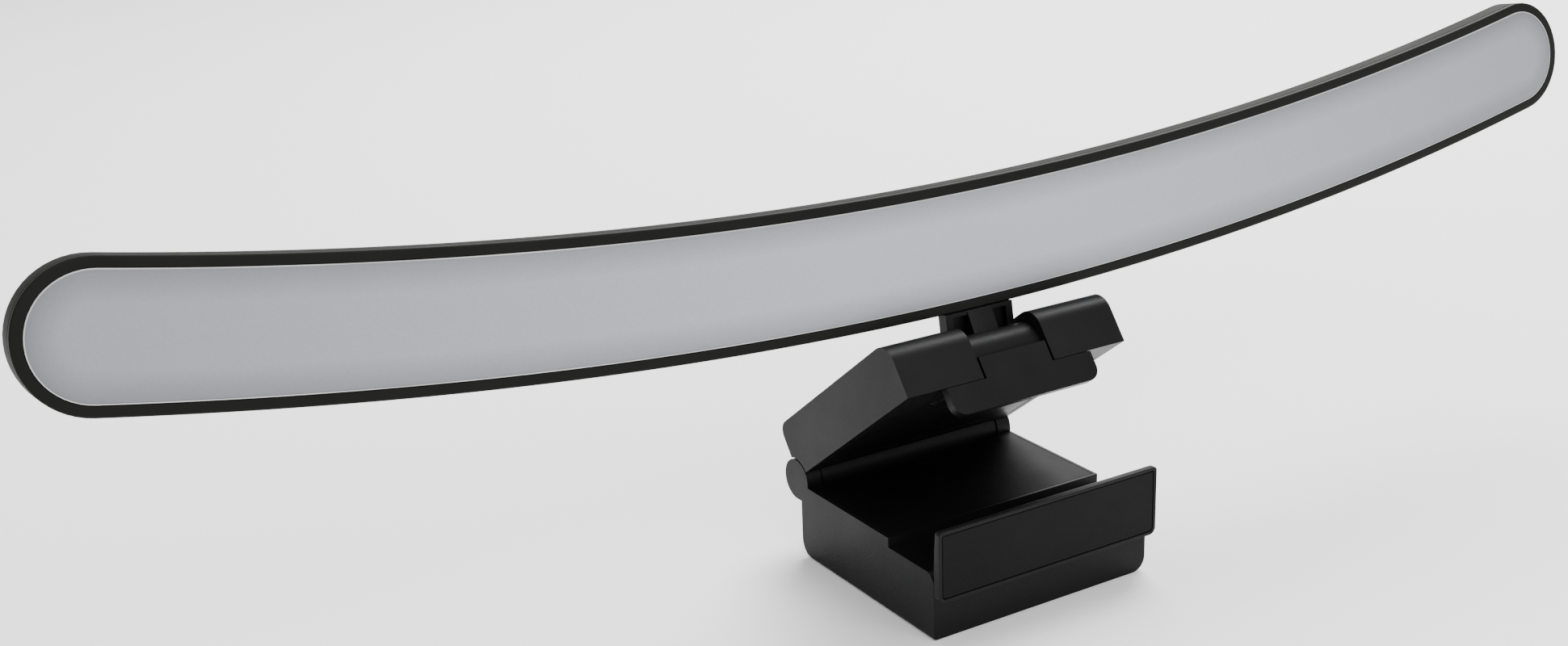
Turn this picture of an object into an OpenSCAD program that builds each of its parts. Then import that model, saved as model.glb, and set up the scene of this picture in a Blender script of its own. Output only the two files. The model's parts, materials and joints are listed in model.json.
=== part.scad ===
// Curved light bar on a folding monitor clip.
// Millimetres. X runs along the bar, the lit face and the hook look towards -Y, Z is up.
// The origin is the middle of the clip's lower arm, on the surface it stands on.

/* [Light bar] */
// Height of the bar, outside the bezel
bar_h = 29.1; // [24:0.1:36]
// Depth of the bar, lit face to back
bar_t = 8.8; // [8.4:0.2:12]
// Length along the curve between the centres of the two round ends
bar_span = 381; // [300:1:460]
// Radius of the bar's curve, on its centre line
bar_arc_r = 1012; // [800:1:2000]
// Width of the dark frame seen round the panel
bezel_w = 2.3; // [1.4:0.1:3]
// Thickness of the opal panel
diffuser_t = 2; // [1.6:0.1:2.4]
// Rounding of the housing's back edge
bar_edge_r = 2.5; // [1:0.1:3]
// Spacing of the LEDs along the bar
led_pitch = 12; // [8:0.5:20]

/* [Lower arm] */
// Width of both clip arms
clip_w = 61; // [52:1:76]
// Depth of the lower arm, front to back
base_d = 54; // [48:1:66]
// Height of the front ledge above the table
ledge_z = 16; // [15.5:0.1:22]
// Rounding of the lower arm's right bottom edge
base_right_r = 3.5; // [1:0.1:4]
// Rounding of the lower arm's left bottom edge
base_left_r = 0.8; // [0.5:0.1:4]
// Wall of the moulded clip arms
wall = 1.8; // [1.5:0.1:2.4]

/* [Rear hinge] */
// How far the upper arm stands open
open_angle = 37; // [30:1:60]
// Radius of the hinge ears and knuckle
hinge_r = 5; // [4.5:0.1:6]
// Diameter of the hinge pin
hinge_pin_d = 3; // [2:0.1:4]
// Width of each hinge ear
ear_w = 4; // [3:0.5:6]

/* [Upper arm] */
// Thickness of the upper arm
arm_t = 13.5; // [13.4:0.1:18]
// How far the closed arm reaches past the front of the lower arm
arm_overhang = 3.2; // [3:0.1:6]
// Rounding of the upper arm's top front edge
arm_front_r = 5; // [3:0.1:6]
// Depth of the hook below the upper arm
hook_drop = 6.8; // [5:0.1:9]
// Width of the hook
hook_w = 40.4; // [34:0.2:48]
// Thickness of the hook's flange and tab
hook_t = 1.2; // [1:0.1:1.4]
// Thickness of the hook's lip
lip_t = 2.2; // [2:0.1:3]

/* [Folding foot] */
// Height of the foot plate when it stands up
foot_h = 16.9; // [14:0.1:20]
// Thickness of the foot plate
foot_t = 2.1; // [1.8:0.1:3]
// Rounding of the lower arm's top front edge, which the foot turns round
foot_turn_r = 2.6; // [2.6:0.1:4]
// Distance of the foot's lugs from the middle
lug_x = 12.5; // [10:0.5:17]

/* [Neck] */
// Lean of the lit face, upwards from vertical
tilt_angle = 9.3; // [0:0.1:20]
// Width of the neck and its barrel
neck_w = 18.8; // [16:0.2:24]
// Radius of the neck's barrel
barrel_r = 5.1; // [4.8:0.1:5.6]
// Diameter of the tilt pin
tilt_pin_d = 4; // [3:0.1:5]
// Height from the tilt axis to the underside of the bar
neck_rise = 9.9; // [9.5:0.1:16]
// Thickness of the neck's tongue behind the bar
tongue_t = 2.2; // [1.8:0.1:3.4]

/* [Driver pod] */
// Length of the pod on the back of the bar
pod_l = 60; // [52:1:90]
// Height of the pod
pod_h = 12; // [11.5:0.1:13]
// Depth of the pod
pod_t = 6.2; // [6:0.1:9]

/* [Hidden] */
$fn = 96;
e = 0.01;
run_fit = 0.05;        // radial play of a pin that turns
side_play = 0.5;       // each side of a knuckle or barrel, filled by a washer
turn_gap = 0.4;        // round a curved part that turns in a seat
seat_gap = 0.2;        // between flat faces that close on each other

bar_r = bar_h / 2;
panel_r = bar_r - bezel_w;
bar_phi = bar_span / 2 / bar_arc_r * 180 / PI;
side_wall = 1.2;
back_wall = 1.6;
board_t = 1;
bezel_t = 1.4;
shelf_y = diffuser_t - 0.1;
shelf_w = 1.1;
cap_in = 0.02;         // the round ends sit this much inside the bar's section, so no faces coincide

front_y = -base_d / 2;
rear_y = base_d / 2;
foot_gap = 0.8;
foot_y = front_y - foot_gap;                   // back face of the standing foot
pivot_y = front_y + foot_turn_r;
pivot_z = ledge_z + seat_gap - foot_turn_r - foot_gap;
foot_z = pivot_z - foot_turn_r;                // lower edge of the standing foot
deck_z = ledge_z + seat_gap + foot_t;
step_y = front_y + foot_h + turn_gap;
foot_pin_d = 2;
lug_w = 5;
lug_r = 2;
foot_w = clip_w + 1;
base_rear_r = 4.5;
cover_t = 1.5;
pad_t = 0.8;

hinge_y = rear_y + 2;
hinge_z = deck_z + 0.7;
knuckle_w = clip_w - 2 * ear_w - 2 * side_play;
seat_r = hinge_r + turn_gap;

arm_rear = 1.5;                                // from the hinge axis, along the arm
arm_front = hinge_y - front_y + arm_overhang;
arm_rear_r = 3;
tilt_a = arm_front - hook_t - 0.7 - barrel_r;
tilt_n = hook_t + turn_gap + barrel_r;
slot_w = neck_w + 2 * side_play;
slot_rear = tilt_a - 12.4;
slot_wall = 2;
boss_l = 3;
hook_neck = neck_w - 0.2;
hook_rise = 4.9;
flange_a = slot_rear + 4;
hook_screw_x = slot_w / 2 + slot_wall + 3.4;
hook_screw_a = tilt_a - 4.6;

bar_y = barrel_r - 0.7;                        // lit face behind the tilt axis
bar_z = bar_r + neck_rise;
bar_back = bar_y + bar_t;
riser_y = barrel_r - 1.3;                      // front of the riser, behind the tilt axis
riser_t = 2.9;
rib_w = 6.8;
pocket_w = 4.1;
pocket_d = 1.6;
tongue_top = bar_z - 1.6;
neck_screw_z = [bar_z - 9.4, bar_z - 4.6];
pod_z = bar_z + 0.2;                           // lower face of the pod
pod_back = bar_back + pod_t;
board_y = bar_back - back_wall - board_t;
usb = [7.4, 3.2, 9];

body_black = [0.10, 0.10, 0.105];
frame_black = [0.07, 0.07, 0.072];
rubber_black = [0.05, 0.05, 0.05];
steel_grey = [0.62, 0.63, 0.64];
opal_grey = [0.80, 0.81, 0.84];

// ---------- placing ----------

// An outline in (Y, Z), drawn out along X, from the middle
module across(w) {
    rotate([90, 0, 90]) linear_extrude(w, center = true) children();
}

// The same, from x0 to x1, and mirrored to the other side
module both_sides(x0, x1) {
    for (s = [0, 1]) mirror([s, 0, 0])
        translate([(x0 + x1) / 2, 0, 0]) across(x1 - x0) children();
}

module rod_x(d, l) {
    rotate([0, 90, 0]) cylinder(d = d, h = l, center = true);
}

module at_hinge() {
    translate([0, hinge_y, hinge_z]) children();
}

// Upper arm's own frame: origin on the hinge axis, arm along -Y, underside at Z 0
module at_arm() {
    at_hinge() rotate([-open_angle, 0, 0]) children();
}

// Head's own frame: origin on the tilt axis, lit face towards -Y
module at_head() {
    at_arm() translate([0, -tilt_a, tilt_n]) rotate([open_angle - tilt_angle, 0, 0]) children();
}

module at_foot_pivot() {
    translate([0, pivot_y, pivot_z]) children();
}

// A place on the bar's centre line, s along the curve; X runs along the bar there
module on_arc(s) {
    translate([0, 0, bar_z + bar_arc_r])
        rotate([0, -s / bar_arc_r * 180 / PI, 0])
            translate([0, 0, -bar_arc_r]) children();
}

// ---------- shared shapes ----------

// Rectangle from p to q with its upper right corner rounded
module corner_square(p, q, r) {
    translate(p) square([q[0] - p[0] - r, q[1] - p[1]]);
    translate(p) square([q[0] - p[0], q[1] - p[1] - r]);
    translate([q[0] - r, q[1] - r]) circle(r);
}

// Rectangle with all corners rounded, centred
module round_rect(w, h, r) {
    square([w - 2 * r, h], center = true);
    square([w, h - 2 * r], center = true);
    for (x = [-1, 1], y = [-1, 1])
        translate([x * (w / 2 - r), y * (h / 2 - r)]) circle(r);
}

// The bar's outline, r each side of its centre line, from depth y0 to y1
module bar_plate(r, y0, y1) {
    translate([0, y1, bar_z + bar_arc_r]) rotate([90, 0, 0]) linear_extrude(y1 - y0) {
        intersection() {
            difference() {
                circle(bar_arc_r + r, $fn = 720);
                circle(bar_arc_r - r, $fn = 720);
            }
            polygon([[0, 0], [-2 * bar_arc_r * sin(bar_phi), -2 * bar_arc_r * cos(bar_phi)],
                     [2 * bar_arc_r * sin(bar_phi), -2 * bar_arc_r * cos(bar_phi)]]);
        }
        for (s = [-1, 1])
            translate([s * bar_arc_r * sin(bar_phi), -bar_arc_r * cos(bar_phi)]) circle(r);
    }
}

// The bar as a solid, its half section in (distance from the centre line, depth)
module bar_solid(r, y0, y1, edge_r) {
    translate([0, 0, bar_z + bar_arc_r]) rotate([-90, 0, 0])
        rotate_extrude(angle = 2 * bar_phi, start = 90 - bar_phi, $fn = 720)
            translate([bar_arc_r, 0]) for (m = [0, 1]) mirror([m, 0])
                corner_square([0, y0], [r, y1], edge_r);
    for (s = [-1, 1]) on_arc(s * bar_span / 2) rotate([-90, 0, 0])
        rotate_extrude() corner_square([0, y0 + cap_in], [r - cap_in, y1 - cap_in], edge_r - cap_in);
}

// Countersunk screw, head flush with Z 0, pointing along +Z
module screw(d, l) {
    difference() {
        union() {
            cylinder(d1 = 2 * d, d2 = d, h = 0.6 * d);
            cylinder(d = d, h = l);
        }
        translate([0, 0, -e]) cylinder(d = 0.8 * d, h = 0.4 * d, $fn = 6);
    }
}

module screw_hole(d, l) {
    cylinder(d1 = 2 * d + 0.3, d2 = d + 0.1, h = 0.6 * d + 0.1);
    translate([0, 0, -e]) cylinder(d = 2 * d + 0.3, h = 2 * e);
    cylinder(d = d + 0.1, h = l);
}

// ---------- lower arm ----------

cover_w = clip_w - 2 * max(base_left_r, base_right_r) - 3;
cover_y0 = front_y + 4.5;
cover_y1 = rear_y - base_rear_r - 2.5;
cover_z = 0;
base_screws = [for (x = [-1, 1], y = [cover_y0 + 4, cover_y1 - 4]) [x * (cover_w / 2 - 4), y]];

module base_side() {
    difference() {
        union() {
            corner_mirror = ledge_z - foot_turn_r;
            translate([front_y, 0]) square([base_d - base_rear_r, corner_mirror]);
            translate([front_y + foot_turn_r, 0]) square([base_d - foot_turn_r, ledge_z]);
            translate([front_y + foot_turn_r, corner_mirror]) circle(foot_turn_r);
            translate([step_y, base_rear_r]) square([rear_y - step_y, deck_z - base_rear_r]);
            translate([rear_y - base_rear_r, base_rear_r]) circle(base_rear_r);
        }
        difference() {
            translate([rear_y - base_rear_r, -e]) square(base_rear_r + e);
            translate([rear_y - base_rear_r, base_rear_r]) circle(base_rear_r);
        }
    }
}

module base_front() {
    for (s = [0, 1]) mirror([s, 0]) {
        r = s == 0 ? base_right_r : base_left_r;
        translate([-e, r]) square([clip_w / 2 + e, deck_z + 20]);
        translate([-e, 0]) square([clip_w / 2 - r + e, deck_z]);
        translate([clip_w / 2 - r, r]) circle(r);
    }
}

module lower_shell() {
    color(body_black) difference() {
        union() {
            intersection() {
                across(clip_w) base_side();
                translate([0, rear_y + 20, 0]) rotate([90, 0, 0]) linear_extrude(base_d + 40) base_front();
            }
            both_sides(clip_w / 2 - ear_w, clip_w / 2)
                translate([hinge_y, hinge_z]) circle(hinge_r);
            both_sides(clip_w / 2 - ear_w, clip_w / 2)
                translate([rear_y - 8, hinge_z - hinge_r]) square([10, deck_z - hinge_z + hinge_r]);
        }
        difference() {
            base_cavity();
            foot_bosses();
            for (p = base_screws) translate([p[0], p[1], 0]) cylinder(r = 2.8, h = deck_z);
        }
        translate([-cover_w / 2 - 0.1, cover_y0 - 0.1, -e])
            cube([cover_w + 0.2, cover_y1 - cover_y0 + 0.2, cover_z + cover_t + 0.1]);
        for (p = base_screws) translate([p[0], p[1], cover_z]) cylinder(d = 2.1, h = 8);
        at_hinge() rod_x(2 * seat_r, clip_w - 2 * ear_w);
        both_sides(0, clip_w / 2 - ear_w + e)
            translate([hinge_y - seat_r * 0.3, hinge_z - seat_r * 0.3]) square(seat_r * 2);
        at_hinge() rod_x(hinge_pin_d + 2 * run_fit, clip_w - 2);
        deck_pad_space(0);
        foot_slots();
        at_foot_pivot() for (s = [-1, 1])
            translate([s * lug_x, 0, 0]) rod_x(foot_pin_d + 2 * run_fit, lug_w + 8);
    }
}

module base_cavity() {
    cavity_top = ledge_z - wall;
    translate([-clip_w / 2 + wall + 1.7, front_y + wall, cover_z + cover_t - e])
        cube([clip_w - 2 * wall - 3.4, step_y - front_y, cavity_top - cover_z - cover_t - 1.2]);
    translate([-clip_w / 2 + wall + 1.7, step_y, cover_z + cover_t - e])
        cube([clip_w - 2 * wall - 3.4, rear_y - step_y - 9, cavity_top - cover_z - cover_t]);
}

module foot_bosses() {
    for (s = [-1, 1]) translate([s * lug_x - lug_w / 2 - 3.6, front_y, 0])
        cube([lug_w + 7.2, 8, ledge_z]);
}

module foot_slots() {
    for (s = [-1, 1])
        translate([s * lug_x - lug_w / 2 - 0.3, front_y - e, pivot_z - lug_r - 0.3])
            cube([lug_w + 0.6, foot_turn_r + lug_r + 0.3, ledge_z]);
}

module deck_pad_space(gap) {
    translate([-clip_w / 2 + 0.7 + gap, step_y + 0.7 + gap, deck_z - pad_t])
        cube([clip_w - 1.4 - 2 * gap, hinge_y - seat_r - 1.2 - step_y - 2 * gap, pad_t + (gap == 0 ? e : 0)]);
}

module deck_pad() {
    color(rubber_black) deck_pad_space(0.05);
}

module lower_cover() {
    color(body_black) difference() {
        translate([-cover_w / 2, cover_y0, cover_z]) cube([cover_w, cover_y1 - cover_y0, cover_t]);
        for (p = base_screws) translate([p[0], p[1], cover_z]) screw_hole(2, 4);
    }
}

module cover_screws() {
    color(steel_grey) for (p = base_screws) translate([p[0], p[1], cover_z + 0.05]) screw(2, 7);
}

module counterweight() {
    color(steel_grey) translate([0, (front_y + 10 + cover_y1 - 8) / 2, cover_z + cover_t + 0.05])
        linear_extrude(ledge_z - 8) round_rect(clip_w - 24, cover_y1 - front_y - 18, 2);
}

module hinge_pin() {
    color(steel_grey) at_hinge() rod_x(hinge_pin_d, clip_w - 2.2);
}

module washer_pair(x, d_out, d_in) {
    for (s = [-1, 1]) translate([s * x, 0, 0]) difference() {
        rod_x(d_out, side_play - 0.1);
        rod_x(d_in, side_play + 1);
    }
}

module hinge_washers() {
    color(steel_grey) at_hinge()
        washer_pair((knuckle_w + side_play) / 2, 2 * hinge_r - 2.4, hinge_pin_d + 2 * run_fit);
}

module foot_pins() {
    color(steel_grey) at_foot_pivot() for (s = [-1, 1])
        translate([s * lug_x, 0, 0]) rod_x(foot_pin_d, lug_w + 6);
}

// ---------- folding foot ----------

module foot_outline(inset) {
    w = foot_w - 2 * inset;
    top_r = 0.9 - inset / 2;
    low_r = 1.7 - inset;
    z0 = foot_z + inset;
    z1 = foot_z + foot_h - inset;
    translate([-w / 2, z0 + low_r]) square([w, z1 - z0 - low_r - top_r]);
    translate([-w / 2 + low_r, z0]) square([w - 2 * low_r, 4]);
    translate([-w / 2 + top_r, z1 - 4]) square([w - 2 * top_r, 4]);
    for (s = [-1, 1]) {
        translate([s * (w / 2 - low_r), z0 + low_r]) circle(low_r);
        translate([s * (w / 2 - top_r), z1 - top_r]) circle(top_r);
    }
}

pad_rim = 0.8;
pad_gap = 0.15;

module foot_plate() {
    color(body_black) difference() {
        union() {
            translate([0, foot_y, 0]) rotate([90, 0, 0]) linear_extrude(foot_t) foot_outline(0);
            for (s = [-1, 1]) translate([s * lug_x, 0, 0]) across(lug_w) {
                translate([pivot_y, pivot_z]) circle(lug_r);
                translate([foot_y - 0.5, pivot_z - lug_r]) square([pivot_y - foot_y + 0.5, 2 * lug_r - 0.2]);
            }
        }
        translate([0, foot_y - foot_t + 0.9, 0]) rotate([90, 0, 0]) linear_extrude(2) foot_outline(pad_rim);
        at_foot_pivot() rod_x(foot_pin_d + 2 * run_fit, clip_w);
    }
}

module foot_pad() {
    color(rubber_black) translate([0, foot_y - foot_t + 0.85, 0]) rotate([90, 0, 0])
        linear_extrude(0.8) foot_outline(pad_rim + pad_gap);
}

// ---------- upper arm ----------

// Arm seen from the side in its own frame, (Y, Z), with a given inset
module arm_side(i) {
    y0 = -arm_front + i;
    y1 = -arm_rear - i;
    translate([y0, i]) square([y1 - y0, arm_t - 2 * i - max(arm_front_r, arm_rear_r) + i]);
    translate([y0 + arm_front_r - i, i]) square([y1 - y0 - arm_front_r - arm_rear_r + 2 * i, arm_t - 2 * i]);
    translate([y0 + arm_front_r - i, arm_t - arm_front_r]) circle(arm_front_r - i);
    translate([y1 - arm_rear_r + i, arm_t - arm_rear_r]) circle(arm_rear_r - i);
    translate([y1 - 6, i]) square([6, arm_t - 2 * i - arm_rear_r + i]);
}

module arm_shell() {
    color(body_black) at_arm() difference() {
        union() {
            difference() {
                across(clip_w) arm_side(0);
                difference() {
                    intersection() {
                        across(clip_w - 2 * wall) arm_side(wall);
                        translate([-clip_w, -arm_front, 0]) cube([2 * clip_w, arm_front - 8, arm_t]);
                    }
                    arm_inner_walls();
                }
                arm_underside();
                both_sides(clip_w / 2 - ear_w - side_play, clip_w / 2 + 1) circle(seat_r);
            }
            rod_x(2 * hinge_r - 0.2, knuckle_w);
        }
        rod_x(hinge_pin_d + 2 * run_fit, clip_w);
        translate([-slot_w / 2, -arm_front - 1, -1]) cube([slot_w, arm_front + 1 - slot_rear, arm_t + 2]);
        translate([0, -tilt_a, tilt_n])
            rod_x(tilt_pin_d + 2 * run_fit, slot_w + 2 * slot_wall + 2 * boss_l - 1.6);
        for (s = [-1, 1]) translate([s * hook_screw_x, -hook_screw_a, -1]) cylinder(d = 2.1, h = 8);
    }
}

// Walls beside and behind the slot, the tilt pin's bosses, and the hook's screw posts
module arm_inner_walls() {
    translate([-slot_w / 2 - slot_wall, -arm_front, 0])
        cube([slot_w + 2 * slot_wall, arm_front - slot_rear + slot_wall, arm_t]);
    translate([0, -tilt_a, tilt_n]) rod_x(tilt_pin_d + 5, slot_w + 2 * slot_wall + 2 * boss_l);
    for (s = [-1, 1]) translate([s * hook_screw_x, -hook_screw_a, 0]) cylinder(r = 2.6, h = arm_t);
}

arm_cover_t = 1.5;
arm_cover_a = [9, flange_a - 0.3];

// Open underside, stepped for the cover and for the hook's flange
module arm_underside() {
    translate([-clip_w / 2 + wall, -arm_cover_a[1], -e])
        cube([clip_w - 2 * wall, arm_cover_a[1] - arm_cover_a[0], arm_cover_t + 0.1]);
    translate([-hook_w / 2 - 0.2, -arm_front + hook_t - 0.1, -e])
        cube([hook_w + 0.4, arm_front - hook_t + 0.1 - flange_a + 0.3, hook_t]);
}

module arm_cover() {
    w = clip_w - 2 * wall - 0.2;
    color(body_black) at_arm() translate([-w / 2, -arm_cover_a[1] + 0.1, 0])
        cube([w, arm_cover_a[1] - arm_cover_a[0] - 0.2, arm_cover_t]);
}

// Pressed plate: flange under the arm, tab up the front of the slot, lip hanging in front
module hook_plate() {
    lip_r = 3;
    color(body_black) at_arm() difference() {
        union() {
            translate([-hook_w / 2, -arm_front + hook_t, -0.5])
                cube([hook_w, arm_front - flange_a - hook_t, hook_t + 0.45]);
            translate([-hook_neck / 2, -arm_front, -1]) cube([hook_neck, hook_t, hook_rise + 1]);
            translate([0, -arm_front + lip_t, 0]) rotate([90, 0, 0]) linear_extrude(lip_t) {
                translate([-hook_w / 2, -hook_drop + lip_r]) square([hook_w, hook_drop - lip_r - 0.15]);
                translate([-hook_w / 2 + lip_r, -hook_drop]) square([hook_w - 2 * lip_r, hook_drop - 0.15]);
                for (s = [-1, 1]) translate([s * (hook_w / 2 - lip_r), -hook_drop + lip_r]) circle(lip_r);
            }
        }
        translate([-hook_w, -arm_front + lip_t, -1]) cube([2 * hook_w, arm_front, 1]);
        for (s = [-1, 1]) translate([s * hook_screw_x, -hook_screw_a, 0]) screw_hole(2, 4);
    }
}

module hook_pad() {
    color(rubber_black) at_arm() translate([0, -arm_front + lip_t + 1, -hook_drop / 2 - 0.1])
        rotate([90, 0, 0]) linear_extrude(0.98) round_rect(hook_w - 4, hook_drop - 1.8, 1.2);
}

module hook_screws() {
    color(steel_grey) at_arm() for (s = [-1, 1])
        translate([s * hook_screw_x, -hook_screw_a, 0.05]) screw(2, 6);
}

module tilt_pin() {
    color(steel_grey) at_arm() translate([0, -tilt_a, tilt_n])
        rod_x(tilt_pin_d, slot_w + 2 * slot_wall + 2 * boss_l - 2);
}

module tilt_washers() {
    color(steel_grey) at_arm() translate([0, -tilt_a, tilt_n])
        washer_pair((neck_w + side_play) / 2, 2 * barrel_r - 1.6, tilt_pin_d + 2 * run_fit);
}

// ---------- neck ----------

// Barrel and the riser over it
module neck_front() {
    fillet = 1.4;
    circle(barrel_r);
    translate([riser_y, 0]) square([riser_t, neck_rise]);
    difference() {
        translate([riser_y - fillet, 2]) square([fillet, 1.6 + fillet]);
        translate([riser_y - fillet, 3.6 + fillet]) circle(fillet);
    }
}

// Web under the bar, from the riser to the tongue
module neck_web() {
    polygon([[0, 0], [riser_y, -1], [riser_y + riser_t, 2.5], [bar_back + tongue_t, neck_rise - 1.5],
             [bar_back + tongue_t, neck_rise + 1], [riser_y, neck_rise]]);
}

module neck() {
    color(body_black) at_head() difference() {
        union() {
            across(neck_w) neck_front();
            across(rib_w) neck_web();
            translate([0, bar_back + tongue_t, (neck_rise + tongue_top) / 2]) rotate([90, 0, 0])
                linear_extrude(tongue_t - 0.02) round_rect(neck_w, tongue_top - neck_rise, 1.5);
        }
        both_sides(rib_w / 2, rib_w / 2 + pocket_w) difference() {
            translate([riser_y - 2, 2]) square([2 + pocket_d, neck_rise - 2.9]);
            circle(barrel_r + e);
        }
        rod_x(tilt_pin_d + 2 * run_fit, neck_w + 1);
        for (z = neck_screw_z) translate([0, bar_back + tongue_t, z]) rotate([90, 0, 0]) screw_hole(2.5, 4);
        // seat for the bar's underside
        bar_solid(bar_r + 0.02, bar_y - 1, bar_back, bar_edge_r);
    }
}

module neck_screws() {
    color(steel_grey) at_head() for (z = neck_screw_z)
        translate([0, bar_back + tongue_t - 0.05, z]) rotate([90, 0, 0]) screw(2.5, tongue_t + 4.6);
}

// ---------- light bar ----------

wire_hole = [14, 6, 3];                        // place along the bar, width, height

module bar_shell() {
    color(body_black) at_head() difference() {
        bar_solid(bar_r, bar_y + bezel_t + 0.02, bar_back, bar_edge_r);
        difference() {
            bar_solid(bar_r - side_wall, bar_y - 1, bar_back - back_wall, bar_edge_r - side_wall);
            for (z = neck_screw_z) translate([0, bar_back, z]) rotate([90, 0, 0]) cylinder(r = 2.6, h = 5.2);
        }
        for (z = neck_screw_z) translate([0, bar_back + e, z]) rotate([90, 0, 0]) cylinder(d = 2.6, h = 4.8);
        translate([wire_hole[0] - wire_hole[1] / 2, board_y, pod_z + 2.4])
            cube([wire_hole[1], bar_t, wire_hole[2]]);
    }
}

module bezel() {
    color(frame_black) at_head() {
        difference() {
            bar_plate(bar_r, bar_y, bar_y + bezel_t);
            bar_plate(panel_r, bar_y - 1, bar_y + bezel_t + 1);
        }
        difference() {
            bar_plate(bar_r - side_wall - 0.05, bar_y + bezel_t - e, bar_y + shelf_y + 1);
            bar_plate(panel_r, bar_y, bar_y + shelf_y);
            bar_plate(panel_r - shelf_w, bar_y, bar_y + shelf_y + 2);
        }
    }
}

module diffuser() {
    proud = 0.15;
    color(opal_grey) at_head()
        bar_plate(panel_r - 0.05, bar_y - proud, bar_y + diffuser_t - proud);
}

module led_board() {
    color([0.92, 0.92, 0.9]) at_head() difference() {
        bar_plate(bar_r - side_wall - 2, board_y, board_y + board_t - 0.02);
        for (z = neck_screw_z) translate([0, bar_back, z]) rotate([90, 0, 0]) cylinder(r = 2.9, h = 9);
        translate([wire_hole[0] - wire_hole[1] / 2, board_y - 1, pod_z + 2.4])
            cube([wire_hole[1], 3, wire_hole[2]]);
    }
}

module leds() {
    n = floor(bar_span / led_pitch / 2);
    color([0.95, 0.85, 0.45]) at_head() for (i = [-n : n], row = [-1, 1])
        if (abs(i) > 0)
            on_arc(i * led_pitch) translate([-1.75, board_y - 0.7, row * 5.4 - 1.4]) cube([3.5, 0.68, 2.8]);
}

// ---------- driver pod ----------

module pod_block(inset, y0, y1) {
    translate([0, y1, pod_z + pod_h / 2]) rotate([90, 0, 0])
        linear_extrude(y1 - y0) round_rect(pod_l - 2 * inset, pod_h - 2 * inset, 2.4 - inset);
}

strip_l = 36;
strip_h = 6;

module pod_cover() {
    color(body_black) at_head() difference() {
        pod_block(0, bar_back + 0.02, pod_back);
        pod_block(side_wall, bar_back - 1, pod_back - side_wall);
        translate([pod_l / 2 - 5, bar_back + 1.5, pod_z + pod_h / 2 - usb[2] / 2 - 0.1])
            cube([10, usb[1] + 0.2, usb[2] + 0.2]);
        translate([0, pod_back + 1, pod_z + pod_h / 2]) rotate([90, 0, 0])
            linear_extrude(1.5) round_rect(strip_l, strip_h, strip_h / 2 - 0.1);
    }
}

module driver_board() {
    l = pod_l - 2 * side_wall - 1.2;
    h = pod_h - 2 * side_wall - 1.2;
    color([0.1, 0.3, 0.16]) at_head() translate([-l / 2, bar_back + 0.5, pod_z + (pod_h - h) / 2])
        cube([l, board_t, h]);
    color([0.08, 0.08, 0.08]) at_head() for (x = [-18, -6])
        translate([x, bar_back + 0.5 + board_t, pod_z + pod_h / 2 - 2.5]) cube([5, 1.2, 5]);
}

module usb_socket() {
    at_socket = [pod_l / 2 - usb[0], bar_back + 1.6, pod_z + pod_h / 2];
    color(steel_grey) at_head() translate(at_socket) difference() {
        rotate([90, 0, 90]) linear_extrude(usb[0]) translate([usb[1] / 2, 0]) round_rect(usb[1], usb[2], 1.5);
        translate([1.2, 0, 0]) rotate([90, 0, 90]) linear_extrude(usb[0])
            translate([usb[1] / 2, 0]) round_rect(usb[1] - 0.7, usb[2] - 0.7, 1.2);
    }
    color([0.06, 0.06, 0.06]) at_head() translate(at_socket)
        translate([1, usb[1] / 2 - 0.35, -3.3]) cube([usb[0] - 2, 0.7, 6.6]);
}

module touch_strip() {
    color([0.03, 0.03, 0.035]) at_head() translate([0, pod_back, pod_z + pod_h / 2]) rotate([90, 0, 0])
        linear_extrude(0.48) round_rect(strip_l - 0.1, strip_h - 0.1, strip_h / 2 - 0.15);
}

module link_wires() {
    color([0.7, 0.1, 0.1]) at_head() for (i = [-1, 0, 1])
        translate([wire_hole[0] + i * 1.6, bar_back + 0.5, pod_z + 2.4 + wire_hole[2] / 2])
            rotate([90, 0, 0]) cylinder(d = 1.2, h = back_wall + 0.5);
}

// ---------- assembly ----------

lower_shell();
deck_pad();
lower_cover();
cover_screws();
counterweight();
hinge_pin();
hinge_washers();
foot_pins();
foot_plate();
foot_pad();
arm_shell();
arm_cover();
hook_plate();
hook_pad();
hook_screws();
tilt_pin();
tilt_washers();
neck();
neck_screws();
bar_shell();
bezel();
diffuser();
led_board();
leds();
pod_cover();
driver_board();
usb_socket();
touch_strip();
link_wires();
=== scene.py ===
"""Curved light bar on a folding monitor clip, finished over its CAD frame.

Everything is in metres, in the frame's own axes: X along the bar, -Y the way the lit face looks, Z up.
"""

import json
import math

import bmesh
import bpy
from mathutils import Matrix, Vector


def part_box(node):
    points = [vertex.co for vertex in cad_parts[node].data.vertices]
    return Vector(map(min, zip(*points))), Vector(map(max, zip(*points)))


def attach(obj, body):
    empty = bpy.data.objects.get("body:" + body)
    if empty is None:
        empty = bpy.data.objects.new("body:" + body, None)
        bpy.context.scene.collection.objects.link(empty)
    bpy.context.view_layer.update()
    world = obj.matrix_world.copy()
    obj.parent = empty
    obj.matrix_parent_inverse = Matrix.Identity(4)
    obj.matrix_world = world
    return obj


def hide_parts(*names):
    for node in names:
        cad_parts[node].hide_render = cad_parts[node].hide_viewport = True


bl_info = {
    "name": "Curved light bar on a clip",
    "version": (1, 0, 0),
    "blender": (4, 5, 0),
    "location": "View3D > Sidebar > Light bar",
    "description": "Builds the finished light bar, its clip and the plain studio round them",
    "category": "Object",
}

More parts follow.
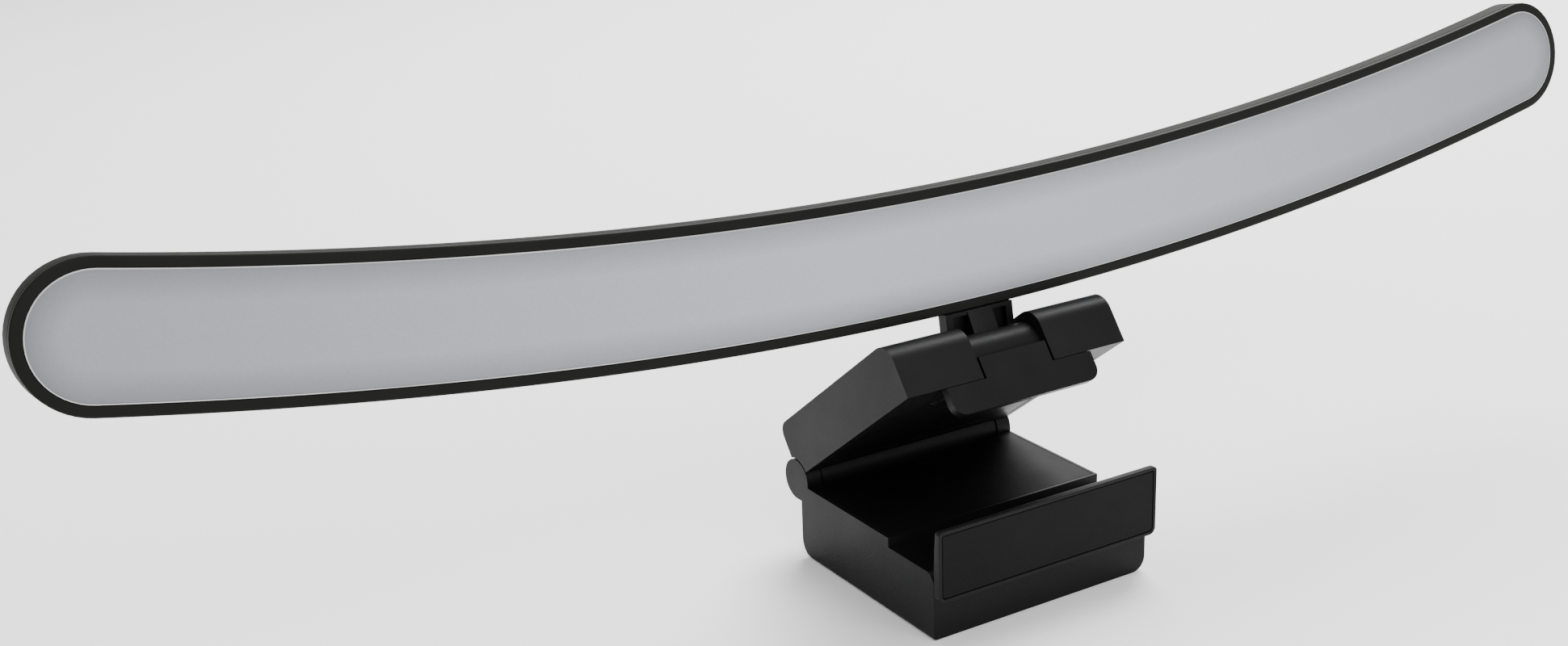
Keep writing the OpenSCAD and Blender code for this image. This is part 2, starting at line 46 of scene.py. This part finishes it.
MM = 0.001
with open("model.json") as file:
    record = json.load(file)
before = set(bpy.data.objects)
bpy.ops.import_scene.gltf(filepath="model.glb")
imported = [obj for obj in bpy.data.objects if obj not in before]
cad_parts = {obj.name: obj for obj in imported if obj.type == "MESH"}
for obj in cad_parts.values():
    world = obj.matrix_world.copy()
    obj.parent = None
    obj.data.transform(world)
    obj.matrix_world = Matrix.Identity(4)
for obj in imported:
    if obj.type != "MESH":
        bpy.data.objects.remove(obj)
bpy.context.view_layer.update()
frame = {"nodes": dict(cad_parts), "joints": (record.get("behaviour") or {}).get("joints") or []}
joints = {joint["name"]: joint for joint in frame["joints"]}
tilt_axis = Vector(joints["head_tilt"]["pos_m"])

WIDE_STOPS, NARROW_STOPS = (0.3, 0.7), (0.35, 0.65)  # for noise, whose values keep to the middle
MIX_FACTOR, MIX_A, MIX_B, MIX_RESULT = 0, 6, 7, 2    # sockets of a Mix node that mixes colours
SMOOTH_ANGLE = math.radians(30)                      # faces that meet at less are shaded as one


# ---------- sizes and colours a user would change ----------

def length(name, description, millimetres):
    return bpy.props.FloatProperty(name=name, description=description, default=millimetres * MM,
                                   unit="LENGTH")


def angle(name, description, degrees):
    return bpy.props.FloatProperty(name=name, description=description, default=math.radians(degrees),
                                   subtype="ANGLE")


def colour(name, description, hex_colour):
    return bpy.props.StringProperty(name=name, description=description, default=hex_colour)


class BarSizes(bpy.types.PropertyGroup):
    height: length("Height", "Height of the bar outside its frame", 29.1)
    depth: length("Depth", "Lit face to back", 8.8)
    span: length("Span", "Length along the curve between the round ends' centres", 381)
    curve: length("Curve radius", "Radius of the bar's centre line", 1012)
    rise: length("Rise", "Tilt axis to the underside of the bar", 9.9)
    front: length("Front", "Lit face behind the tilt axis", 4.4)
    lean: angle("Lean", "Lit face turned up from upright", 9.3)
    frame_width: length("Frame width", "Dark frame seen round the panel", 2.3)
    frame_depth: length("Frame depth", "Front of the frame to the housing's edge", 1.4)
    back_round: length("Back rounding", "Radius of the housing's back edge", 2.5)
    panel_proud: length("Panel crown", "How far the panel stands out of its frame", 0.15)


class ClipSizes(bpy.types.PropertyGroup):
    soft_edge: length("Soft edge", "Radius that moulding leaves on an edge", 0.35)
    pad_edge: length("Pad edge", "Radius on the edge of a rubber pad", 0.2)
    foot_thickness: length("Foot thickness", "Front to back of the foot's plate", 2.1)
    foot_back_round: length("Foot back rounding", "Radius on the back of the foot's sides and top", 1.5)


class Finishes(bpy.types.PropertyGroup):
    black_abs: colour("Moulded black", "Satin ABS of the clip", "#0a0a0b")
    bar_black: colour("Bar black", "Painted housing of the bar", "#181816")
    frame_black: colour("Frame black", "Fine satin frame round the panel", "#131311")
    rubber: colour("Rubber", "Silicone pads", "#070708")
    opal: colour("Opal panel", "Frosted acrylic, unlit", "#a5a6ae")
    board_white: colour("White board", "Solder mask of the LED board", "#e8e8e4")
    board_green: colour("Green board", "Solder mask of the driver board", "#12552c")
    touch_black: colour("Touch strip", "Glossy strip in the pod's back", "#0c0c0e")
    phosphor: colour("Phosphor", "LEDs, unlit", "#e8c65a")
    wire_red: colour("Wires", "PVC of the link wires", "#8e1c1c")
    floor: colour("Floor", "Plain pale floor", "#f4f4f4")


def sizes(group):
    """Settings of one of the groups above."""
    return getattr(bpy.context.scene, group)


# ---------- materials ----------

def linear(hex_colour):
    """An sRGB hex value as linear red, green, blue and alpha."""
    channels = [int(hex_colour[i:i + 2], 16) / 255 for i in (1, 3, 5)]
    return [c / 12.92 if c <= 0.04045 else ((c + 0.055) / 1.055) ** 2.4 for c in channels] + [1.0]


def add_node(tree, kind, settings=None, links=None):
    """Adds a node, sets its attributes or input values, and links its inputs."""
    node = tree.nodes.new(kind)
    for key, value in (settings or {}).items():
        if isinstance(key, str) and hasattr(node, key):
            setattr(node, key, value)
        else:
            node.inputs[key].default_value = value
    for key, source in (links or {}).items():
        tree.links.new(source, node.inputs[key])
    return node


def new_material(name):
    """A new material with its node tree, its shader and the coordinates of the piece that wears it."""
    material = bpy.data.materials.new(name)
    material.use_nodes = True
    tree = material.node_tree
    place = add_node(tree, "ShaderNodeTexCoord").outputs["Object"]
    return material, tree, tree.nodes["Principled BSDF"], place


def graded(tree, source, low, high, stops=(0.0, 1.0)):
    """A colour ramp from low to high between two stops."""
    ramp = add_node(tree, "ShaderNodeValToRGB", links={"Fac": source})
    for element, stop, value in zip(ramp.color_ramp.elements, stops, (low, high)):
        element.position = stop
        element.color = value
    return ramp.outputs["Color"]


def noise(tree, place, size, detail):
    """Values of a noise texture whose grains are about the given size."""
    return add_node(tree, "ShaderNodeTexNoise", {"Scale": 1 / size, "Detail": detail},
                    {"Vector": place}).outputs["Fac"]


def multiplied(tree, first, second):
    """Two colours multiplied by each other."""
    return add_node(tree, "ShaderNodeMix", {"data_type": "RGBA", "blend_type": "MULTIPLY", MIX_FACTOR: 1.0},
                    {MIX_A: first, MIX_B: second}).outputs[MIX_RESULT]


def add_relief(tree, shader, height, strength, depth):
    """Relief on the shader, as high as a texture's values."""
    relief = add_node(tree, "ShaderNodeBump", {"Strength": strength, "Distance": depth}, {"Height": height})
    tree.links.new(relief.outputs["Normal"], shader.inputs["Normal"])


def grey(value):
    return (value, value, value, 1.0)


def scaled(rgba, factor):
    return [c * factor for c in rgba[:3]] + [1.0]


def moulded(name, hex_colour, roughness, grain, bump, specular=0.12, coat=0.0):
    """Injection-moulded plastic: even colour, a fine spark-eroded grain and soft, cloudy gloss."""
    cloud_size, cell_size = 18 * MM, 1.6 * grain
    shade, shinier, duller = 0.14, 0.04, 0.06
    material, tree, shader, place = new_material(name)
    base = linear(hex_colour)
    cloud = noise(tree, place, cloud_size, 3.0)
    tint = graded(tree, cloud, scaled(base, 1 - shade), scaled(base, 1 + shade), WIDE_STOPS)
    gloss = graded(tree, cloud, grey(roughness - shinier), grey(roughness + duller), WIDE_STOPS)
    tree.links.new(tint, shader.inputs["Base Color"])
    tree.links.new(gloss, shader.inputs["Roughness"])
    cells = add_node(tree, "ShaderNodeTexVoronoi", {"Scale": 1 / cell_size}, {"Vector": place})
    grit = add_node(tree, "ShaderNodeMath", {"operation": "ADD"},
                    {0: noise(tree, place, grain, 2.0), 1: cells.outputs["Distance"]})
    add_relief(tree, shader, grit.outputs[0], strength=bump, depth=0.03 * MM)
    shader.inputs["IOR"].default_value = 1.5
    shader.inputs["Specular IOR Level"].default_value = specular
    if coat:
        shader.inputs["Coat Weight"].default_value = coat
        shader.inputs["Coat Roughness"].default_value = 0.12
    return material


def opal_acrylic(hex_colour):
    """Frosted acrylic: a faint lilac grey, with painted shade that darkens it towards the ends and towards
    the dark frame that it sits in.
    """
    half_length, even_along, painted_end_shade = 200 * MM, 0.1, 0.66
    even_across, painted_border_shade = 0.5, 0.62
    frost_size, speckle = 0.5 * MM, 0.03
    material, tree, shader, place = new_material("frosted_opal_acrylic")
    base = linear(hex_colour)
    parts = add_node(tree, "ShaderNodeSeparateXYZ", links={"Vector": place})
    away = add_node(tree, "ShaderNodeMath", {"operation": "ABSOLUTE"}, {0: parts.outputs["X"]})
    reach = add_node(tree, "ShaderNodeMath", {"operation": "DIVIDE", 1: half_length}, {0: away.outputs[0]})
    # painted shade: the colour grows darker towards the ends of the bar
    along = graded(tree, reach.outputs[0], base, scaled(base, painted_end_shade), (even_along, 1.0))
    across = add_node(tree, "ShaderNodeAttribute", {"attribute_name": "from_centre"})
    # painted shade: the colour grows darker towards the frame, as if shaded by it
    border = graded(tree, across.outputs["Fac"], grey(1.0), grey(painted_border_shade), (even_across, 1.0))
    frost = noise(tree, place, frost_size, 4.0)
    speck = graded(tree, frost, grey(1 - speckle), grey(1 + speckle), NARROW_STOPS)
    body = multiplied(tree, multiplied(tree, along, border), speck)
    tree.links.new(body, shader.inputs["Base Color"])
    add_relief(tree, shader, frost, strength=0.25, depth=0.02 * MM)
    shader.inputs["Roughness"].default_value = 0.48
    shader.inputs["IOR"].default_value = 1.49
    shader.inputs["Subsurface Weight"].default_value = 0.15
    shader.inputs["Subsurface Radius"].default_value = (1.0, 1.0, 1.0)
    shader.inputs["Subsurface Scale"].default_value = 1.2 * MM
    return material


def polished_edge_painted_highlight():
    """Flame-polished acrylic edge whose pale colour is a painted highlight for the light that it pipes, so
    it looks like a thin pale line round the panel.
    """
    drift_size, dark, light = 30 * MM, 0.38, 0.56
    material, tree, shader, place = new_material("flame_polished_acrylic_edge_painted_highlight")
    drift = noise(tree, place, drift_size, 2.0)
    # painted highlight: a pale grey in place of the light that the edge catches and pipes
    tree.links.new(graded(tree, drift, grey(dark), grey(light), NARROW_STOPS), shader.inputs["Base Color"])
    shader.inputs["Roughness"].default_value = 0.2
    shader.inputs["IOR"].default_value = 1.49
    return material


def turned_steel(name, dark, light):
    """Turned and plated steel: fine bands across X, a little rougher where they are bright."""
    band_scale = 455
    shiny, dull = 0.28, 0.4
    material, tree, shader, place = new_material(name)
    wave = add_node(tree, "ShaderNodeTexWave", {"bands_direction": "X", "Scale": band_scale,
                                                "Distortion": 1.5, "Detail": 2.0}, {"Vector": place})
    tree.links.new(graded(tree, wave.outputs["Fac"], grey(dark), grey(light)), shader.inputs["Base Color"])
    tree.links.new(graded(tree, wave.outputs["Fac"], grey(shiny), grey(dull)), shader.inputs["Roughness"])
    shader.inputs["Metallic"].default_value = 1.0
    return material


def cast_weight():
    """Sand-cast iron: dark, pitted and rough."""
    pit_size, dark, light = 1.2 * MM, 0.05, 0.16
    material, tree, shader, place = new_material("cast_iron")
    pits = noise(tree, place, pit_size, 6.0)
    tree.links.new(graded(tree, pits, grey(dark), grey(light)), shader.inputs["Base Color"])
    add_relief(tree, shader, pits, strength=0.6, depth=0.15 * MM)
    shader.inputs["Metallic"].default_value = 1.0
    shader.inputs["Roughness"].default_value = 0.7
    return material


def solder_mask(name, hex_colour):
    """Printed circuit board: glossy solder mask with copper tracks showing through as a faint relief."""
    track_size, patch_shade, gap_shade = 6 * MM, 0.92, 0.7
    material, tree, shader, place = new_material(name)
    base = linear(hex_colour)
    tracks = add_node(tree, "ShaderNodeTexBrick", {
        "Scale": 1 / track_size, "Mortar Size": 0.03, "Color1": base,
        "Color2": scaled(base, patch_shade), "Mortar": scaled(base, gap_shade)}, {"Vector": place})
    tree.links.new(tracks.outputs["Color"], shader.inputs["Base Color"])
    add_relief(tree, shader, tracks.outputs["Fac"], strength=0.4, depth=0.04 * MM)
    shader.inputs["Roughness"].default_value = 0.3
    return material


def pale_paper(hex_colour):
    """Plain paper, with large patches that are hardly darker."""
    patch_size, shade = 1 / 3, 0.01
    material, tree, shader, place = new_material("pale_paper_floor")
    base = linear(hex_colour)
    patches = noise(tree, place, patch_size, 2.0)
    tree.links.new(graded(tree, patches, scaled(base, 1 - shade), base), shader.inputs["Base Color"])
    shader.inputs["Roughness"].default_value = 0.9
    return material


# ---------- shaping ----------

def finish_piece(name, bm, body, material, replaces=(), soft=0.0):
    """Turns a bmesh into a named piece that rides on a body and stands for CAD nodes."""
    mesh = bpy.data.meshes.new(name)
    bm.to_mesh(mesh)
    bm.free()
    piece = bpy.data.objects.new(name, mesh)
    bpy.context.scene.collection.objects.link(piece)
    mesh.materials.append(material)
    if soft:
        rounding = piece.modifiers.new("soft_edges", "BEVEL")
        rounding.width = soft
        rounding.segments = 3
        rounding.limit_method = "ANGLE"
        rounding.angle_limit = math.radians(35)
        rounding.harden_normals = False
        rounding.miter_outer = "MITER_ARC"
    for face in mesh.polygons:
        face.use_smooth = True
    mesh.set_sharp_from_angle(angle=SMOOTH_ANGLE)
    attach(piece, body)
    if replaces:
        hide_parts(*replaces)


def joined_copy(node):
    """A copy of a CAD node's mesh with its triangles joined up into whole faces."""
    same_point, same_face = 0.001 * MM, math.radians(1)
    bm = bmesh.new()
    bm.from_mesh(frame["nodes"][node].data)
    bmesh.ops.remove_doubles(bm, verts=bm.verts, dist=same_point)
    bmesh.ops.dissolve_limit(bm, angle_limit=same_face, verts=bm.verts, edges=bm.edges,
                             use_dissolve_boundaries=False, delimit={"NORMAL"})
    return bm


def softened(node, name, body, material, soft):
    """A CAD node's shape with its edges rounded as moulding leaves them."""
    finish_piece(name, joined_copy(node), body, material, (node,), soft)


def arc_points(centre, radius, start, end, steps):
    """Points on an arc in (distance from the bar's centre line, depth), angles in degrees."""
    return [(centre[0] + radius * math.cos(math.radians(start + (end - start) * i / steps)),
             centre[1] + radius * math.sin(math.radians(start + (end - start) * i / steps)))
            for i in range(steps + 1)]


def head_matrix():
    """Head's own axes, lit face upright and origin on the tilt axis, to the frame's."""
    return Matrix.Translation(tilt_axis) @ Matrix.Rotation(-sizes("bar_sizes").lean, 4, "X")


def run_round_bar(profile, closed):
    """Sweeps a half section, in (distance from the centre line, depth), round the bar's outline.

    The mesh's from_centre attribute is 0 on the centre line and 1 at the section's widest.
    """
    arc_steps, cap_steps, same_point = 120, 28, 0.002 * MM
    bar = sizes("bar_sizes")
    middle = bar.rise + bar.height / 2
    centre = Vector((0, 0, middle + bar.curve))
    half = bar.span / 2 / bar.curve
    bm = bmesh.new()
    from_centre = bm.verts.layers.float.new("from_centre")
    ring = [bm.verts.new((0, depth, centre.z - bar.curve - away)) for away, depth in profile]
    widest = max(away for away, depth in profile)
    for vert, (away, depth) in zip(ring, profile):
        vert[from_centre] = away / widest
    edges = [bm.edges.new(pair) for pair in zip(ring, ring[1:] + ring[:1] * closed)]
    section = ring + edges
    bmesh.ops.rotate(bm, verts=ring, cent=centre, matrix=Matrix.Rotation(half, 3, "Y"))
    left = centre + Matrix.Rotation(half, 3, "Y") @ Vector((0, 0, -bar.curve))
    right = centre + Matrix.Rotation(-half, 3, "Y") @ Vector((0, 0, -bar.curve))
    legs = ((centre, -2 * half, arc_steps), (right, -math.pi, cap_steps),
            (centre, 2 * half, arc_steps), (left, -math.pi, cap_steps))
    for pivot, turn, steps in legs:
        spun = bmesh.ops.spin(bm, geom=section, cent=pivot, axis=(0, 1, 0), dvec=(0, 0, 0),
                              angle=turn, space=Matrix.Identity(4), steps=steps,
                              use_merge=False, use_duplicate=False)
        section = spun["geom_last"]
    bmesh.ops.remove_doubles(bm, verts=bm.verts, dist=same_point)
    bmesh.ops.recalc_face_normals(bm, faces=bm.faces)
    bmesh.ops.transform(bm, matrix=head_matrix(), verts=bm.verts)
    return bm


# ---------- operators, one for each piece or group of like pieces ----------

class BuildHousing(bpy.types.Operator):
    """Bar's housing: a thin tray with a rounded back edge"""
    bl_idname = "lightbar.housing"
    bl_label = "Housing"

    def execute(self, context):
        bar = sizes("bar_sizes")
        lip, chamfer, gap = 1.2 * MM, 0.25 * MM, 0.1 * MM
        radius, turn = bar.height / 2, bar.back_round
        front, back = bar.front + bar.frame_depth + gap, bar.front + bar.depth
        profile = [(radius - lip, front), (radius - chamfer, front), (radius, front + chamfer)]
        profile += arc_points((radius - turn, back - turn), turn, 0, 90, 8)
        profile += [(0.0, back)]
        bm = run_round_bar(profile, closed=False)
        painted = moulded("satin_painted_housing", sizes("finishes").bar_black, roughness=0.6,
                          grain=0.35 * MM, bump=0.3, specular=0.06)
        finish_piece("bar_housing", bm, "head", painted, ("bar_shell",))
        return {"FINISHED"}


class BuildFrame(bpy.types.Operator):
    """Dark frame round the panel, with its outer front edge rounded"""
    bl_idname = "lightbar.frame"
    bl_label = "Frame"

    def execute(self, context):
        bar = sizes("bar_sizes")
        panel_gap, chamfer, edge = 0.03 * MM, 0.2 * MM, 0.45 * MM
        rear_chamfer, rear_drop = 0.15 * MM, 0.1 * MM
        tongue, tongue_draft, tongue_reach = 0.9 * MM, 0.1 * MM, 0.4 * MM
        radius = bar.height / 2
        inner = radius - bar.frame_width
        front, rear = bar.front, bar.front + bar.frame_depth
        profile = [(inner + panel_gap, rear + tongue_reach), (inner + panel_gap, front + chamfer),
                   (inner + chamfer, front)]
        profile += arc_points((radius - edge, front + edge), edge, 270, 360, 5)
        profile += [(radius, rear - rear_drop), (radius - rear_chamfer, rear), (radius - tongue, rear),
                    (radius - tongue - tongue_draft, rear + tongue_reach)]
        bm = run_round_bar(profile, closed=True)
        satin = moulded("fine_satin_frame", sizes("finishes").frame_black, roughness=0.5,
                        grain=0.25 * MM, bump=0.2, specular=0.08)
        finish_piece("panel_frame", bm, "head", satin, ("bezel",))
        return {"FINISHED"}


class BuildPanel(bpy.types.Operator):
    """Opal panel, with a soft roll down to its polished rim all round"""
    bl_idname = "lightbar.panel"
    bl_label = "Opal panel"

    def execute(self, context):
        bar = sizes("bar_sizes")
        frame_gap, rim_width = 0.05 * MM, 0.25 * MM
        edge = bar.height / 2 - bar.frame_width - frame_gap
        front = bar.front - bar.panel_proud
        self.panel(edge - rim_width, front)
        self.rim(edge - rim_width, edge, front)
        return {"FINISHED"}

    def panel(self, face, front):
        """Flat as far as its lip, which drops away along a parabola."""
        lip, lip_drop, lip_steps, thickness = 2.4 * MM, 0.26 * MM, 8, 1.9 * MM
        face_rings = (5 * MM, 3 * MM, 1 * MM)  # in from the lip, to keep the flat face's shading even
        flat = face - lip
        profile = [(0.0, front)] + [(flat - inset, front) for inset in face_rings]
        for i in range(lip_steps + 1):
            along = i / lip_steps
            profile.append((flat + lip * along, front + lip_drop * along ** 2))
        profile += [(face, front + thickness), (0.0, front + thickness)]
        bm = run_round_bar(profile, closed=False)
        finish_piece("opal_panel", bm, "head", opal_acrylic(sizes("finishes").opal), ("diffuser",))

    def rim(self, face, edge, front):
        """The panel's border, a step down from its face, made pale by a painted highlight."""
        gap, chamfer = 0.01 * MM, 0.08 * MM
        inner_step, outer_step, side_step, thickness = 0.14 * MM, 0.18 * MM, 0.3 * MM, 1.5 * MM
        profile = [(face + gap, front + inner_step), (edge - chamfer, front + outer_step),
                   (edge, front + side_step), (edge, front + thickness), (face + gap, front + thickness)]
        bm = run_round_bar(profile, closed=True)
        finish_piece("panel_rim", bm, "head", polished_edge_painted_highlight())


class BuildClip(bpy.types.Operator):
    """Clip's moulded arms, foot, hook, neck and the pod, with their edges softened"""
    bl_idname = "lightbar.clip"
    bl_label = "Clip and neck"

    def execute(self, context):
        soft = sizes("clip_sizes").soft_edge
        black = sizes("finishes").black_abs
        shell = moulded("spark_eroded_black_abs", black, roughness=0.42, grain=0.3 * MM, bump=0.4)
        coated = moulded("powder_coated_steel", black, roughness=0.36, grain=0.45 * MM, bump=0.5)
        for node, name, body, material, slot in (
                ("lower_shell", "lower_arm_shell", "lower_arm", shell, "body_plastic"),
                ("lower_cover", "underside_cover", "lower_arm", shell, "body_plastic"),
                ("arm_shell", "upper_arm_shell", "upper_arm", shell, "body_plastic"),
                ("arm_cover", "upper_arm_liner", "upper_arm", shell, "body_plastic"),
                ("hook_plate", "hook", "upper_arm", coated, "coated_steel"),
                ("neck", "ribbed_neck", "head", shell, "body_plastic"),
                ("pod_cover", "driver_pod", "head", shell, "body_plastic")):
            softened(node, name, body, material, soft)
        self.foot(shell, soft)
        return {"FINISHED"}

    def foot(self, shell, soft):
        """The foot, well rounded behind along its sides and top."""
        clip = sizes("clip_sizes")
        bottom_corner, close = 1.8 * MM, 0.01 * MM
        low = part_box("foot_plate")[0]
        back = low[1] + clip.foot_thickness
        bm = joined_copy("foot_plate")
        rear_edges = [edge for edge in bm.edges if edge.is_convex and all(
            abs(vert.co.y - back) < close and vert.co.z > low[2] + bottom_corner for vert in edge.verts)]
        bmesh.ops.bevel(bm, geom=rear_edges, offset=clip.foot_back_round, offset_type="OFFSET", segments=6,
                        profile=0.5, affect="EDGES", material=-1, clamp_overlap=True)
        finish_piece("folding_foot", bm, "foot", shell, ("foot_plate",), soft)


class BuildPads(bpy.types.Operator):
    """Silicone pads on the deck, the foot and the hook"""
    bl_idname = "lightbar.pads"
    bl_label = "Rubber pads"

    def execute(self, context):
        rubber = moulded("matt_silicone_rubber", sizes("finishes").rubber, roughness=0.55,
                         grain=0.4 * MM, bump=0.5, specular=0.1)
        for node, name, body in (("deck_pad", "deck_grip", "lower_arm"), ("foot_pad", "foot_grip", "foot"),
                                 ("hook_pad", "hook_grip", "upper_arm")):
            softened(node, name, body, rubber, sizes("clip_sizes").pad_edge)
        return {"FINISHED"}


class FinishHardware(bpy.types.Operator):
    """Finishes on the pins, screws, weight and electronics, whose shapes come from the frame"""
    bl_idname = "lightbar.hardware"
    bl_label = "Hardware and electronics"

    def execute(self, context):
        colours = sizes("finishes")
        steel = turned_steel("zinc_plated_steel", dark=0.45, light=0.62)
        black_zinc = turned_steel("black_zinc_screws", dark=0.05, light=0.11)
        iron = cast_weight()
        white = solder_mask("white_solder_mask", colours.board_white)
        green = solder_mask("green_solder_mask", colours.board_green)
        gloss = moulded("gloss_touch_strip", colours.touch_black, roughness=0.12, grain=0.5 * MM,
                        bump=0.05, coat=0.6)
        phosphor = moulded("led_phosphor", colours.phosphor, roughness=0.35, grain=0.2 * MM, bump=0.2)
        wire = moulded("pvc_wire", colours.wire_red, roughness=0.4, grain=0.3 * MM, bump=0.2)
        worn_by = {
            steel: ("hinge_pin", "hinge_washers", "foot_pins", "tilt_pin", "tilt_washers", "usb_socket"),
            black_zinc: ("cover_screws", "hook_screws", "neck_screws"),
            iron: ("counterweight",), white: ("led_board",), green: ("driver_board",),
            gloss: ("touch_strip",), phosphor: ("leds",), wire: ("link_wires",)}
        for material, nodes in worn_by.items():
            for node in nodes:
                slots = frame["nodes"][node].data.materials
                slots.clear()
                slots.append(material)
        return {"FINISHED"}


class BuildStage(bpy.types.Operator):
    """Plain pale floor, soft studio lights and the camera"""
    bl_idname = "lightbar.stage"
    bl_label = "Stage"

    def execute(self, context):
        self.floor()
        self.lights()
        self.camera()
        return {"FINISHED"}

    def floor(self):
        """Wide sheet of paper, a hair below the object so that its underside doesn't flicker."""
        half_width, drop = 6.0, 0.1 * MM
        bm = bmesh.new()
        bmesh.ops.create_grid(bm, x_segments=2, y_segments=2, size=half_width)
        bmesh.ops.translate(bm, verts=bm.verts, vec=(0, 0, -drop))
        mesh = bpy.data.meshes.new("floor")
        bm.to_mesh(mesh)
        bm.free()
        mesh.materials.append(pale_paper(sizes("finishes").floor))
        floor = bpy.data.objects.new("floor", mesh)
        bpy.context.scene.collection.objects.link(floor)

    def lights(self):
        """White surroundings and four square soft boxes, each aimed at a point of the object."""
        world = bpy.data.worlds.new("studio")
        world.use_nodes = True
        surroundings = world.node_tree.nodes["Background"].inputs
        surroundings["Color"].default_value = grey(1.0)
        surroundings["Strength"].default_value = 0.84
        bpy.context.scene.world = world
        for name, place, target, width, watts in (
                ("left_box", (-0.5, -1.1, 0.9), (0, 0, 0.05), 0.9, 6.0),
                ("top_box", (0.6, 0.5, 1.15), (0, 0, 0.05), 0.9, 44.0),
                ("back_box", (1.1, 0.9, 0.5), (0.1, 0, 0.07), 0.8, 3.5),
                ("front_box", (0.3, -1.3, 1.0), (0, 0, 0.06), 1.0, 12.0)):
            lamp = bpy.data.lights.new(name, "AREA")
            lamp.size = width
            lamp.energy = watts
            source = bpy.data.objects.new(name, lamp)
            aim = Vector(target) - Vector(place)
            source.matrix_world = (Matrix.Translation(place)
                                   @ aim.to_track_quat("-Z", "Y").to_matrix().to_4x4())
            bpy.context.scene.collection.objects.link(source)

    def camera(self):
        """Camera at the front left, above the bar and looking down on it."""
        place = Vector((-252.1, -336.3, 205.9)) * MM
        azimuth, elevation, roll = (math.radians(degrees) for degrees in (31.52, 18.67, -1.906))
        data = bpy.data.cameras.new("camera")
        data.sensor_width = 36.0
        data.lens = 44.34
        data.shift_x = -0.0099
        data.shift_y = -0.0073
        data.clip_start = 0.01
        camera = bpy.data.objects.new("camera", data)
        turned = (Matrix.Rotation(-azimuth, 4, "Z") @ Matrix.Rotation(math.pi / 2 - elevation, 4, "X")
                  @ Matrix.Rotation(roll, 4, "Z"))
        camera.matrix_world = Matrix.Translation(place) @ turned
        bpy.context.scene.collection.objects.link(camera)
        bpy.context.scene.camera = camera


class LightBarPanel(bpy.types.Panel):
    bl_idname = "VIEW3D_PT_light_bar"
    bl_label = "Light bar"
    bl_space_type = "VIEW_3D"
    bl_region_type = "UI"
    bl_category = "Light bar"

    def draw(self, context):
        for group in GROUPS:
            settings = sizes(group)
            for name in settings.__annotations__:
                self.layout.prop(settings, name)
        for operator in OPERATORS:
            self.layout.operator(operator.bl_idname)


GROUPS = {"bar_sizes": BarSizes, "clip_sizes": ClipSizes, "finishes": Finishes}
OPERATORS = (BuildStage, BuildHousing, BuildFrame, BuildPanel, BuildClip, BuildPads, FinishHardware)


def register():
    for name, group in GROUPS.items():
        bpy.utils.register_class(group)
        setattr(bpy.types.Scene, name, bpy.props.PointerProperty(type=group))
    for operator in OPERATORS:
        bpy.utils.register_class(operator)
    bpy.utils.register_class(LightBarPanel)


def unregister():
    bpy.utils.unregister_class(LightBarPanel)
    for operator in reversed(OPERATORS):
        bpy.utils.unregister_class(operator)
    for name, group in GROUPS.items():
        delattr(bpy.types.Scene, name)
        bpy.utils.unregister_class(group)


def main():
    register()
    bpy.ops.lightbar.stage()
    bpy.ops.lightbar.housing()
    bpy.ops.lightbar.frame()
    bpy.ops.lightbar.panel()
    bpy.ops.lightbar.clip()
    bpy.ops.lightbar.pads()
    bpy.ops.lightbar.hardware()


if __name__ == "__main__":
    main()
